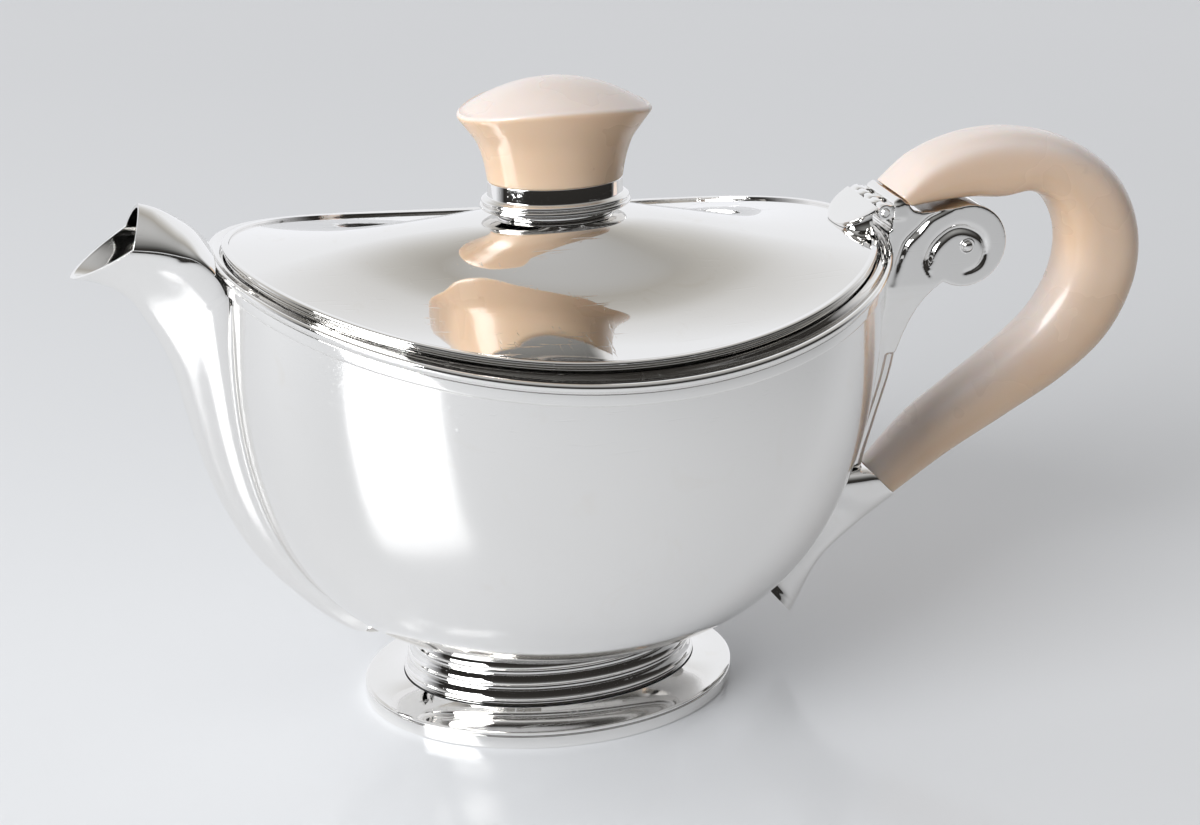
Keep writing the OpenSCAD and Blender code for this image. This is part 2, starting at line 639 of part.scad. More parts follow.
// Collar under the knob: narrow foot, double ring and plain band.
module knob_collar() {
    a = collar_length / 2;
    h = collar_height;
    out = [[a - 2.2, 0.04], [a - 2, 0.14], [a - 0.4, 0.2], [a + 1.5, 0.27], [a + 1.9, 0.34],
        [a + 1.4, 0.4], [a + 1.6, 0.44], [a + 1.2, 0.5], [a + 0.2, 0.54], [a, 0.6], [a, 1]];
    bore = stud_r + 0.3;
    rings = concat([round_ring(bore, h), round_ring(bore, joint_gap),
        knob_ring(a - 2.2, joint_gap)], [for (p = out) knob_ring(p[0], p[1] * h)]);
    color(silver) translate([0, 0, collar_z]) skin([for (r = rings) [for (i = [0 : around_small - 1])
        let (t = 360 * i / around_small) [lid_x + r[0] * cos(t), r[1] * sin(t), r[2]]]], true);
}

// Flared knob with a domed top, bored for the stud.
module knob() {
    a = knob_length / 2;
    base = collar_length / 2 + 0.1;
    h = knob_height;
    flare = [for (p = [[0, 0], [0.02, 0.12], [0.06, 0.24], [0.16, 0.4], [0.34, 0.58],
        [0.6, 0.77], [0.86, 0.92], [0.97, 0.97], [1, 1]])
        knob_ring(mix(base, a, p[0]), p[1] * h + joint_gap, 2.6 * pow(p[1], 3))];
    dome = [for (s = [0.97, 0.9, 0.78, 0.62, 0.44, 0.25, 0.08])
        knob_ring(a * s, h + knob_dome * (1 - pow(s, 2.1)), 2.6 * pow(s, 3))];
    bore = stud_r + 0.05;
    color(ivory) translate([0, 0, knob_z]) oval_turned(concat(
        [round_ring(bore, 10.2), round_ring(bore, joint_gap)], flare, dome), lid_x);
}

// Stud from the knob down through the lid.
module knob_stud() {
    low = crown_z - lid_wall - 5;
    color(dark_silver) translate([lid_x, 0, low]) cylinder(r = stud_r, h = stud_top - low);
}

module knob_washer() {
    color(dark_silver) translate([lid_x, 0, crown_z - lid_wall - joint_gap - 0.8]) difference() {
        cylinder(r = 3 * stud_r, h = 0.8);
        cylinder(r = stud_r + 0.2, h = 2, center = true);
    }
}

module knob_nut() {
    color(dark_silver) translate([lid_x, 0, crown_z - lid_wall - 2 * joint_gap - 3.6])
        difference() {
            cylinder(r = 2 * stud_r, h = 2.8, $fn = 6);
            cylinder(r = stud_r + 0.02, h = 8, center = true);
        }
}

foot_edge();
foot_flare();
foot_rings();
bowl();
rim_band();
rim_moulding();
lid_seat();
spout_trough();
spout_roof();
spout_beads();
upper_bracket();
volute_scrolls();
handle();
handle_pin();
rear_strap();
lower_socket();
hinge_knuckles();
hinge_pin();
lid_shell();
lid_edge();
lid_bezel();
lid_leaf();
lid_knuckles();
knob_collar();
knob();
knob_stud();
knob_washer();
knob_nut();
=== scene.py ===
import math
import bmesh
import bpy
import numpy as np
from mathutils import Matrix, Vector


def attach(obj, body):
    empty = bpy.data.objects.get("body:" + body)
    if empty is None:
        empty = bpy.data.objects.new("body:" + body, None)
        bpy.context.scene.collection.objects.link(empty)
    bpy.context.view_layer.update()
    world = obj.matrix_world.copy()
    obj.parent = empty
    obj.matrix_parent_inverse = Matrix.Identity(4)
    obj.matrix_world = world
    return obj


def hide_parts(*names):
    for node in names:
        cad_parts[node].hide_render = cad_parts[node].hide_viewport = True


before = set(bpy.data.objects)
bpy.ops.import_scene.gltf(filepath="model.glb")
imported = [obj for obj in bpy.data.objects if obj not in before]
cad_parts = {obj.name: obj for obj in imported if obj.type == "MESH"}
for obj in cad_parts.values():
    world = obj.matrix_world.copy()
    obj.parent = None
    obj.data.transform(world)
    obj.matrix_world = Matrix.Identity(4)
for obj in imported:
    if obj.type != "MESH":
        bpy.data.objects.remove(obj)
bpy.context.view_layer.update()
MM = 0.001
N_BIG = 256      # points round the bowl, the rim and the lid
N_SMALL = 128    # points round the knob and its collar

# ---- sizes, in millimetres, as in the CAD source ---------------------------------------

FOOT_A, FOOT_B, FOOT_BAND = 45.0, 34.4, 3.2
NECK_INSET = 11.5
BOWL_A, BOWL_B, BOWL_X, BOWL_BASE = 76.3, 65.0, 2.1, 17.8
RIM, FRONT_RISE, BACK_RISE = 100.6, 13.2, 8.4
WIDEST = RIM - 2.6
FLAT, SWELL = 3.6, 2.15
MOULD_H, MOULD_OUT = 2.2, 1.7
BAND_H, BAND_T = 3.0, 0.8
LID_A, LID_B, LID_X = 75.0, 58.7, 2.3
EDGE_RISE, EDGE_H, EDGE_W = 1.9, 2.0, 1.6
CROWN = RIM + 17.4
FRONT_X, BACK_X = BOWL_X - BOWL_A, BOWL_X + BOWL_A
HINGE_X, HINGE_Z, HINGE_WIDTH = BACK_X + 0.3, RIM + BACK_RISE + 5.3, 19.0
VOL_X, VOL_Z, VOL_R = BACK_X + 21.8, RIM + 3.6, 10.0
HANDLE_X = BACK_X + 69.8
HALF = 8.5       # half the thickness of the bracket and of the handle's top
LIP_X, LIP_Z, RIM_FRONT = FRONT_X - 31.3, RIM + 11.2, RIM + FRONT_RISE
SPOUT_HALF, MOUTH_HALF = 12.0, 9.7
COLLAR_H, KNOB_RATIO = 8.1, 0.7
SEAT_GAP = 0.5   # between the lid's edge and the rim's ledge
GAP = 0.03


def lift(u):
    """Height of the saddle curve at a share u of the length, -1 at the spout and 1 at the back."""
    return (FRONT_RISE + BACK_RISE) / 2 * u * u - (FRONT_RISE - BACK_RISE) / 2 * u


def rim_z(x):
    return RIM + lift((x - BOWL_X) / BOWL_A)


def bowl_share(z, base=BOWL_BASE):
    """The bowl's size at height z as a share of its widest."""
    if z >= WIDEST:
        return 1.0
    q = max(0.0, (z - base) / (WIDEST - base))
    return (1 - (1 - q) ** SWELL) ** (1 / FLAT)


def bowl_end(z, y, s):
    """X of the bowl's surface at height z and y, at the spout end (s = -1) or the back (s = 1)."""
    k = max(1e-4, bowl_share(z))
    return BOWL_X + s * BOWL_A * k * math.sqrt(max(0.0, 1 - (y / (BOWL_B * k)) ** 2))


def bowl_under(x, y):
    """Z of the bowl's underside."""
    share = min(1.0, math.hypot((x - BOWL_X) / BOWL_A, y / BOWL_B))
    return BOWL_BASE + (WIDEST - BOWL_BASE) * (1 - (1 - share ** FLAT) ** (1 / SWELL))


def mix(a, b, t):
    return a + (b - a) * t


def spline(points, n):
    """Catmull-Rom curve through rows of numbers, n steps to each span."""
    p = np.array(points, float)
    out = []
    for i in range(len(p) - 1):
        a, b = p[max(0, i - 1)], p[i]
        c, d = p[i + 1], p[min(len(p) - 1, i + 2)]
        for k in range(n):
            t = k / n
            out.append(0.5 * (2 * b + (c - a) * t + (2 * a - 5 * b + 4 * c - d) * t * t
                              + (3 * b - a - 3 * c + d) * t ** 3))
    out.append(p[-1])
    return np.array(out)


def turns(n):
    """n angles round a full turn."""
    return [2 * math.pi * i / n for i in range(n)]


def spow(v, p):
    return math.copysign(abs(v) ** p, v)


def rounded(poly, r, k=4):
    """A closed profile with its corners rounded. r is one radius or one for each corner."""
    out = []
    n = len(poly)
    for i in range(n):
        a, b, c = (np.array(poly[(i + d) % n], float) for d in (-1, 0, 1))
        u, v = a - b, c - b
        lu, lv = np.linalg.norm(u), np.linalg.norm(v)
        rr = r[i] if isinstance(r, (list, tuple)) else r
        q = min(rr, 0.45 * lu, 0.45 * lv)
        if q < 1e-6:
            out.append(tuple(b))
            continue
        p0, p1 = b + u / lu * q, b + v / lv * q
        for j in range(k + 1):
            t = j / k
            out.append(tuple((1 - t) ** 2 * p0 + 2 * t * (1 - t) * b + t * t * p1))
    return out


# ---- mesh helpers ------------------------------------------------------------------------

def join(parts):
    verts, faces = [], []
    for v, f in parts:
        faces += [tuple(k + len(verts) for k in face) for face in f]
        verts += v
    return verts, faces


def mesh_object(name, verts, faces, weld=False):
    """An object from points in millimetres, its faces turned outward."""
    mesh = bpy.data.meshes.new(name)
    mesh.from_pydata([tuple(float(c) * MM for c in v) for v in verts], [], faces)
    bm = bmesh.new()
    bm.from_mesh(mesh)
    if weld:
        bmesh.ops.remove_doubles(bm, verts=bm.verts, dist=2e-6)
        bmesh.ops.dissolve_degenerate(bm, edges=bm.edges, dist=1e-6)
    bmesh.ops.recalc_face_normals(bm, faces=bm.faces)
    bm.to_mesh(mesh)
    bm.free()
    obj = bpy.data.objects.new(name, mesh)
    bpy.context.scene.collection.objects.link(obj)
    return obj


def make(name, verts, faces, body, slot, material, old=(), sharp=38, bevel=0.0, segments=2):
    """A smooth-shaded piece from points in millimetres."""
    obj = mesh_object(name, verts, faces, weld=True)
    finish_piece(obj, body, material, old, sharp, bevel, segments)
    return obj


def finish_piece(obj, body, material, old=(), sharp=38, bevel=0.0, segments=2):
    """Soften the edges, shade, and tell the frame what the piece rides and replaces."""
    if bevel:
        soft = obj.modifiers.new("soft_edges", "BEVEL")
        soft.width = bevel * MM
        soft.segments = segments
        soft.limit_method = "ANGLE"
        soft.angle_limit = math.radians(sharp)
        soft.harden_normals = False
        apply_modifiers(obj)
    shade(obj, sharp)
    obj.data.materials.clear()
    obj.data.materials.append(material)
    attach(obj, body)
    if old:
        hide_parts(*old)


def shade(obj, sharp):
    obj.data.shade_smooth()
    obj.data.set_sharp_from_angle(angle=math.radians(sharp))


def apply_modifiers(obj):
    bpy.context.view_layer.update()
    graph = bpy.context.evaluated_depsgraph_get()
    mesh = bpy.data.meshes.new_from_object(obj.evaluated_get(graph))
    obj.modifiers.clear()
    obj.data = mesh


def loft(rings, loop=False):
    """Quads through closed rings of equal length; loop joins the last ring to the first."""
    m, n = len(rings), len(rings[0])
    verts = [p for ring in rings for p in ring]
    faces = []
    for i in range(m if loop else m - 1):
        k = (i + 1) % m
        for j in range(n):
            after = (j + 1) % n
            faces.append((i * n + j, i * n + after, k * n + after, k * n + j))
    if not loop:
        faces.append(tuple(reversed(range(n))))
        faces.append(tuple((m - 1) * n + j for j in range(n)))
    return verts, faces


def oval_ring(profile, a, b, cx, z_at):
    """Closed moulding round an oval; profile rows are (inset, height over z_at(angle))."""
    return loft([[(cx + (a - q) * math.cos(t), (b - q) * math.sin(t), z_at(t) + h)
                  for q, h in profile] for t in turns(N_BIG)], loop=True)


def ellipse(a, b, cx, z, n, saddle=0.0):
    return [(cx + a * math.cos(t), b * math.sin(t), z + saddle * math.sin(t) ** 2)
            for t in turns(n)]


# ---- materials ---------------------------------------------------------------------------

class Nodes:
    """A short way to write a node tree."""

    def __init__(self, tree):
        self.tree = tree

    def add(self, kind, **values):
        node = self.tree.nodes.new(kind)
        for key, value in values.items():
            setattr(node, key, value)
        return node

    def link(self, a, b):
        self.tree.links.new(a, b)


def put(node, **values):
    for key, value in values.items():
        node.inputs[key.replace("_", " ")].default_value = value


def new_material(name):
    mat = bpy.data.materials.new(name)
    mat.use_nodes = True
    mat.node_tree.nodes.clear()
    n = Nodes(mat.node_tree)
    out = n.add("ShaderNodeOutputMaterial")
    shader = n.add("ShaderNodeBsdfPrincipled")
    n.link(shader.outputs[0], out.inputs[0])
    coords = n.add("ShaderNodeTexCoord").outputs["Object"]
    return mat, n, shader, coords


def ramp(n, value, stops):
    """A colour ramp; stops are (position, colour)."""
    node = n.add("ShaderNodeValToRGB")
    elements = node.color_ramp.elements
    while len(elements) < len(stops):
        elements.new(0.5)
    for element, (position, colour) in zip(elements, stops):
        element.position = position
        element.color = (*colour, 1)
    n.link(value, node.inputs[0])
    return node.outputs[0]


def noise(n, coords, scale, detail=3.0, rough=0.5, distortion=0.0, stretch=None):
    node = n.add("ShaderNodeTexNoise")
    put(node, Scale=scale, Detail=detail, Roughness=rough, Distortion=distortion)
    if stretch:
        mapping = n.add("ShaderNodeMapping")
        put(mapping, Scale=stretch, Rotation=(0.3, 0.5, 0.7))
        n.link(coords, mapping.inputs[0])
        coords = mapping.outputs[0]
    n.link(coords, node.inputs["Vector"])
    return node.outputs[0]


def span(n, value, lo, hi, a=0.0, b=1.0):
    """Map lo..hi to a..b, clamped."""
    node = n.add("ShaderNodeMapRange")
    put(node, From_Min=lo, From_Max=hi, To_Min=a, To_Max=b)
    n.link(value, node.inputs[0])
    return node.outputs[0]


def math_node(n, op, a, b):
    node = n.add("ShaderNodeMath", operation=op)
    for i, v in enumerate((a, b)):
        if isinstance(v, float):
            node.inputs[i].default_value = v
        else:
            n.link(v, node.inputs[i])
    return node.outputs[0]


def colour_mix(n, a, b, factor):
    """Colour a to colour b; each is a plain colour or a socket."""
    node = n.add("ShaderNodeMix", data_type="RGBA")
    for i, v in ((6, a), (7, b)):
        if isinstance(v, tuple):
            node.inputs[i].default_value = (*v, 1)
        else:
            n.link(v, node.inputs[i])
    n.link(factor, node.inputs[0])
    return node.outputs[2]


def silver(name, tint, rough, wear, smudge):
    """Polished silver: soft haze, fine random scratches, a few warm tarnish patches."""
    mat, n, shader, co = new_material(name)
    put(shader, Metallic=1.0)
    cloud = noise(n, co, 26.0, 5.0, 0.6)
    patch = noise(n, co, 60.0, 4.0, 0.65, 1.2)
    fine_a = noise(n, co, 900.0, 2.0, 0.5, 0.0, (0.05, 1.0, 1.0))
    fine_b = noise(n, co, 1100.0, 2.0, 0.5, 0.0, (1.0, 0.06, 0.9))
    warm = tuple(c * k for c, k in zip(tint, (0.93, 0.90, 0.85)))
    stain = span(n, patch, 0.60, 0.78, 0.0, smudge)
    n.link(colour_mix(n, tint, warm, stain), shader.inputs["Base Color"])
    haze = span(n, cloud, 0.35, 0.7, rough * 0.8, rough * 1.35)
    lines = math_node(n, "MAXIMUM", span(n, fine_a, 0.66, 0.72, 0.0, 1.0),
                      span(n, fine_b, 0.67, 0.73, 0.0, 1.0))
    haze = math_node(n, "ADD", haze, math_node(n, "MULTIPLY", lines, 0.10 * wear))
    haze = math_node(n, "ADD", haze, math_node(n, "MULTIPLY", stain, 0.06))
    n.link(haze, shader.inputs["Roughness"])
    bump = n.add("ShaderNodeBump")
    put(bump, Strength=0.06 * wear, Distance=0.0002)
    n.link(math_node(n, "SUBTRACT", 1.0, lines), bump.inputs["Height"])
    ripple = n.add("ShaderNodeBump")
    put(ripple, Strength=0.05, Distance=0.001)
    n.link(noise(n, co, 45.0, 2.0), ripple.inputs["Height"])
    n.link(bump.outputs[0], ripple.inputs["Normal"])
    n.link(ripple.outputs[0], shader.inputs["Normal"])
    return mat


TINT = (0.90, 0.89, 0.875)
SILVER = silver("silver_polished", TINT, 0.10, 1.0, 0.35)
SILVER_TRIM = silver("silver_trim", TINT, 0.045, 0.7, 0.35)
SILVER_LID = silver("silver_lid", TINT, 0.035, 0.7, 0.5)
DARK = silver("silver_hidden", (0.62, 0.61, 0.59), 0.26, 1.4, 0.8)


def ivory(name):
    """Carved ivory-coloured material: cream body, faint grain, hairline marks, soft gloss, and a
    painted highlight that makes upward-facing surfaces paler.
    """
    mat, n, shader, co = new_material(name)
    grain = noise(n, co, 170.0, 4.0, 0.55, 0.4, (0.25, 1.0, 0.25))
    cloud = noise(n, co, 38.0, 3.0, 0.5)
    base = ramp(n, cloud, [(0.25, (0.72, 0.50, 0.335)), (0.55, (0.77, 0.555, 0.385)),
                           (0.8, (0.81, 0.60, 0.43))])
    base = colour_mix(n, base, (0.70, 0.50, 0.34), span(n, grain, 0.55, 0.75, 0.0, 0.16))
    mark = noise(n, co, 420.0, 3.0, 0.6, 0.8, (0.12, 1.0, 0.5))
    lines = span(n, mark, 0.70, 0.76, 0.0, 1.0)
    base = colour_mix(n, base, (0.45, 0.26, 0.16), math_node(n, "MULTIPLY", lines, 0.30))
    # Painted highlight: surfaces that face up are mixed towards pale cream, a painted sheen of the
    # bright ceiling, varied a little by the cloud noise.
    painted_sheen_facing = n.add("ShaderNodeSeparateXYZ")
    n.link(n.add("ShaderNodeTexCoord").outputs["Normal"], painted_sheen_facing.inputs[0])
    top = math_node(n, "MULTIPLY", span(n, painted_sheen_facing.outputs[2], -0.1, 0.6),
                    span(n, cloud, 0.2, 0.8, 0.75, 1.0))
    base = colour_mix(n, base, (0.86, 0.76, 0.71), top)
    n.link(base, shader.inputs["Base Color"])
    put(shader, Subsurface_Weight=0.2, Subsurface_Radius=(0.9, 0.45, 0.22),
        Subsurface_Scale=0.004, Coat_Weight=0.4, Coat_Roughness=0.12, IOR=1.53)
    n.link(span(n, cloud, 0.3, 0.7, 0.20, 0.34), shader.inputs["Roughness"])
    bump = n.add("ShaderNodeBump")
    put(bump, Strength=0.10, Distance=0.0003)
    n.link(math_node(n, "SUBTRACT", grain, math_node(n, "MULTIPLY", lines, 0.5)),
           bump.inputs["Height"])
    n.link(bump.outputs[0], shader.inputs["Normal"])
    return mat


IVORY = ivory("ivory_carved")


# ---- foot --------------------------------------------------------------------------------

def build_foot():
    band = rounded([(1.2, 0), (0, 0), (0, FOOT_BAND), (1.2, FOOT_BAND)], [0.1, 0.35, 0.25, 0.1])
    make("foot_edge_band", *oval_ring(band, FOOT_A, FOOT_B, 0, lambda t: 0.0), "pot", "silver",
         SILVER_TRIM, ["foot_edge"])

    rise, wall = 1.6, 0.9
    low = FOOT_BAND + GAP
    under = [(mix(0.35, NECK_INSET - 2.2, k / 24), low + rise * (k / 24) ** 2.6)
             for k in range(25)]
    over = [(q, z + wall) for q, z in under]
    over[0] = (under[0][0] + 0.2, over[0][1])
    nose = [(under[0][0] - 0.25, low + 0.28), (under[0][0] - 0.25, low + 0.62)]
    slope = over[::-1] + nose[::-1] + under
    make("foot_slope", *oval_ring(slope, FOOT_A, FOOT_B, 0, lambda t: 0.0), "pot", "silver",
         SILVER_TRIM, ["foot_flare"])

    low = FOOT_BAND + rise + wall + 3 * GAP
    step = (BOWL_BASE - low) / 3.4
    outer = []
    for k in range(3):
        z0, q0 = low + step * k, NECK_INSET - 2.1 + 0.9 * k
        for j in range(11):
            t = math.pi * (j / 10)
            outer.append((q0 + 0.42 * (1 - math.sin(t)), z0 + step * 0.22 * (1 - math.cos(t))))
        for j in range(1, 7):
            s = j / 7
            outer.append((q0 + mix(0.45, 1.25, s ** 0.6), z0 + step * mix(0.46, 0.97, s)))
    inner = NECK_INSET + 1.7
    rings = []
    for t in turns(N_BIG):
        c, s = math.cos(t), math.sin(t)
        top = bowl_under((FOOT_A - inner) * c, (FOOT_B - inner) * s) - 2 * GAP
        ring = [(inner, low)] + outer + [(NECK_INSET + 0.3, top - 0.5), (NECK_INSET + 0.5, top),
                                         (inner, top)]
        rings.append([((FOOT_A - q) * c, (FOOT_B - q) * s, z) for q, z in ring])
    make("foot_neck", *loft(rings, loop=True), "pot", "silver", SILVER_TRIM, ["foot_rings"])


# ---- bowl and rim ------------------------------------------------------------------------

def bowl_skin(inset):
    """Rings of the bowl: level ones on the round bottom, then ones that lean to the rim."""
    a, b, base = BOWL_A - inset, BOWL_B - inset, BOWL_BASE + inset
    levels_low, levels_high = 26, 34
    turn = 0.86
    rings = []
    for k in range(levels_low):
        r = mix(0.03, turn, k / levels_low)
        q = 1 - (1 - r ** FLAT) ** (1 / SWELL)
        rings.append(ellipse(a * r, b * r, BOWL_X, base + q * (WIDEST - base), N_BIG))
    z_turn = base + (1 - (1 - turn ** FLAT) ** (1 / SWELL)) * (WIDEST - base)
    for k in range(levels_high + 1):
        row = []
        for t in turns(N_BIG):
            top = rim_z(BOWL_X + a * math.cos(t)) - MOULD_H - 2 * GAP
            z = mix(z_turn, top, k / levels_high)
            r = bowl_share(z, base)
            row.append((BOWL_X + a * r * math.cos(t), b * r * math.sin(t), z))
        rings.append(row)
    return rings


def strainer_drill():
    """One tube for each strainer hole, in rows that are staggered."""
    pitch, radius = 4.6, 1.4
    tubes = []
    for row in range(6):
        for col in (-1, 0, 1):
            y = col * pitch + (row % 2 - 0.5) * pitch / 2
            z = RIM - 50 + row * pitch * 0.9
            tubes.append(loft([[(FRONT_X + 6 + e, y + radius * math.cos(t),
                                 z + radius * math.sin(t)) for t in turns(24)] for e in (-6, 6)]))
    return mesh_object("drill", *join(tubes))


def build_bowl():
    sharp = 50
    outer, inner = bowl_skin(0), bowl_skin(1.0)
    obj = make("bowl_body", *loft(outer + inner[::-1]), "pot", "silver", SILVER, ["bowl"], sharp)
    drill = strainer_drill()
    cut = obj.modifiers.new("strainer", "BOOLEAN")
    cut.object = drill
    cut.solver = "EXACT"
    apply_modifiers(obj)
    bpy.data.objects.remove(drill)
    shade(obj, sharp)


def build_rim_band():
    """The plain band under the rim, one length on each side of the bowl."""
    rows = rounded([(-GAP, 0), (-BAND_T, 0), (-BAND_T, -BAND_H + 0.5), (-GAP, -BAND_H)],
                   [0.05, 0.15, 0.5, 0.05], 5)
    reach = math.radians(78.75)
    sides = []
    for side in (0, math.pi):
        rings = []
        for i in range(113):
            t = side + math.pi / 2 + mix(-reach, reach, i / 112)
            row = []
            for q, h in rows:
                x = BOWL_X + (BOWL_A - q) * math.cos(t)
                row.append((x, (BOWL_B - q) * math.sin(t), rim_z(x) - MOULD_H - 3 * GAP + h))
            rings.append(row)
        sides.append(loft(rings))
    make("rim_plain_band", *join(sides), "pot", "silver", SILVER_TRIM, ["rim_band"], 60)


def build_rim_moulding():
    m = MOULD_OUT
    roll = spline([(m - 1.1, 0.0), (m - 0.62, -0.02), (m - 0.2, -0.25), (m, -0.75), (m - 0.1, -1.3),
                   (m - 0.45, -1.75), (m - 0.75, -2.12), (m - 0.85, -MOULD_H)], 5)
    rings = []
    for t in turns(N_BIG):
        c, s = math.cos(t), math.sin(t)
        xi, yi = LID_X + (LID_A + SEAT_GAP) * c, (LID_B + SEAT_GAP) * s
        row = [(xi, yi, rim_z(xi) - 0.28), (xi + 0.06 * c, yi + 0.06 * s, rim_z(xi) - 0.16)]
        x1, y1 = BOWL_X + (BOWL_A + m - 1.1) * c, (BOWL_B + m - 1.1) * s
        for w in (0.12, 0.3, 0.5, 0.7, 0.85, 0.94):
            x, y = mix(xi, x1, w), mix(yi, y1, w)
            row.append((x, y, rim_z(x) - 0.13 * (1 - w) - 0.35 * math.sin(math.pi * w) ** 0.8))
        for q, h in roll:
            x = BOWL_X + (BOWL_A + q) * c
            row.append((x, (BOWL_B + q) * s, rim_z(x) + h))
        row.append((xi, yi, rim_z(xi) - MOULD_H))
        rings.append(row)
    make("rim_ledge_moulding", *loft(rings, loop=True), "pot", "silver", SILVER_TRIM,
         ["rim_moulding"], 50)


def build_lid_seat():
    a, b = LID_A + SEAT_GAP - 2 * GAP, LID_B + SEAT_GAP - 2 * GAP
    high, low = EDGE_RISE - EDGE_H - 0.35, -MOULD_H - 2 * GAP
    width, lip, wall = 3.4, 1.2, 1.06
    ledge = ((width, high - 0.25), (width - 0.1, high - 0.07), (width - 0.3, high), (0.2, high),
             (0, high - 0.2), (0, low))
    rings = []
    for t in turns(N_BIG):
        c, s = math.cos(t), math.sin(t)
        row = []
        for q, h in ledge:
            x = LID_X + (a - q) * c
            row.append((x, (b - q) * s, rim_z(x) + h))
        xo, yo = BOWL_X + (BOWL_A - wall) * c, (BOWL_B - wall) * s
        row += [(xo, yo, rim_z(xo) + low), (xo, yo, rim_z(xo) + low - lip)]
        x = LID_X + (a - width) * c
        row.append((x, (b - width) * s, rim_z(x) + low - lip))
        rings.append(row)
    make("lid_seat_ledge", *loft(rings, loop=True), "pot", "dark_silver", SILVER, ["lid_seat"])


# ---- lid ---------------------------------------------------------------------------------

# share of the lid's length, share of the height, width of the contour against the outline
DISH = spline([(0, 1, 1), (0.18, 1, 1), (0.22, 0.97, 0.96), (0.26, 0.92, 0.92),
               (0.3, 0.86, 0.88), (0.35, 0.77, 0.855), (0.4, 0.68, 0.835), (0.45, 0.59, 0.82),
               (0.5, 0.49, 0.82), (0.55, 0.39, 0.825), (0.6, 0.295, 0.84), (0.66, 0.193, 0.87),
               (0.72, 0.12, 0.9), (0.8, 0.056, 0.95), (0.9, 0.013, 0.985), (1, 0, 1)], 12)


def lid_edge_z(t):
    return EDGE_RISE + rim_z(LID_X + LID_A * math.cos(t))


def lid_width(share):
    return float(np.interp(share, DISH[:, 0], DISH[:, 2]))


def lid_dish(t, share):
    return mix(lid_edge_z(t) - 0.5, CROWN, float(np.interp(share, DISH[:, 0], DISH[:, 1])))


def lid_top(x, y):
    return lid_dish(math.atan2(y / LID_B, (x - LID_X) / LID_A),
                    math.hypot((x - LID_X) / LID_A, y / LID_B))


def lid_sheet(drop):
    """Rings of one face of the lid, from the stud's hole to the moulding."""
    rings = []
    shares = [0.07, 0.1, 0.14, 0.175, 0.185] + [0.2 + 0.8 * (k / 34) ** 1.25 for k in range(35)]
    for share in shares:
        inset = (EDGE_W + GAP) * (share if share > 0.2 else 0.0)
        rings.append([(LID_X + (LID_A * share - inset) * math.cos(t),
                       (LID_B * share * lid_width(share) - inset) * math.sin(t),
                       lid_dish(t, share - inset / LID_A) - drop) for t in turns(N_BIG)])
    return rings


def build_lid():
    top, low = lid_sheet(0.0), lid_sheet(0.9)
    make("lid_dish", *loft(top[::-1] + low, loop=True), "lid", "silver", SILVER_LID,
         ["lid_shell"], 50)
    roll = spline([(1.35, 0.06), (0.9, 0.12), (0.45, 0.12), (0.12, -0.04), (0.0, -0.4),
                   (0.04, -0.85), (0.2, -1.12)], 4)
    edge = [(EDGE_W, 0.03)] + [tuple(p) for p in roll] + [
        (0.5, -1.2), (0.52, -1.45), (0.4, -1.6), (0.4, -1.95), (0.5, -EDGE_H), (EDGE_W, -EDGE_H)]
    make("lid_rim_moulding", *oval_ring(edge, LID_A, LID_B, LID_X, lid_edge_z), "lid", "silver",
         SILVER_TRIM, ["lid_edge"])
    bezel = rounded([(5.2, -1.5), (4.2, -1.5), (4.2, -5.0), (5.2, -5.0)], [0.1, 0.1, 0.35, 0.35])
    make("lid_inner_bezel", *oval_ring(bezel, LID_A, LID_B, LID_X, lid_edge_z), "lid",
         "dark_silver", SILVER, ["lid_bezel"])


def build_leaf():
    """The tongue that rises from the lid to the hinge, with scooped sides."""
    rear, length, half = HINGE_X - 2.1, 7.5, HINGE_WIDTH / 2
    top_z = HINGE_Z + 1.5
    foot_width, lift_off = 0.84, 0.08
    steps, across = 40, 32
    rings = []
    for i in range(steps + 1):
        s = max(0.004, (i / steps) ** 1.5)
        x = rear - length * (1 - s)
        w = half * math.sqrt(1 - (1 - s) ** 2.4)
        base = lid_top(x, 0) + lift_off
        top = mix(base + 0.35, top_z, s ** 0.9)
        shares = [mix(1, -1, k / across) for k in range(across + 1)]
        upper = [(x, w * v, top - 0.12 * abs(v) ** 8) for v in shares]
        scoop = []
        for k in range(7):
            q = k / 7
            neck = mix(1, foot_width, s) - 0.13 * s * math.sin(math.pi * q) - 0.02 * s * q
            scoop.append((w * mix(1, neck, min(1, q * 2.5)), mix(top - 0.25, base, q)))
        foot = w * mix(1, foot_width, s)
        lower = [(x, foot * v, lid_top(x, foot * v) + lift_off) for v in reversed(shares)]
        rings.append(upper + [(x, -y, z) for y, z in scoop] + lower
                     + [(x, y, z) for y, z in reversed(scoop)])
    make("lid_hinge_leaf", *loft(rings), "lid", "silver", SILVER_TRIM, ["lid_leaf"], 34)


# ---- hinge -------------------------------------------------------------------------------

def rod_y(x, z, radius, half, chamfer):
    """A rod along Y with softened ends."""
    outline = [(radius - chamfer, -half), (radius, -half + chamfer), (radius, half - chamfer),
               (radius - chamfer, half), (0.001, half), (0.001, -half)]
    return loft([[(x + r * math.cos(t), y, z + r * math.sin(t)) for r, y in outline]
                 for t in turns(40)], loop=True)


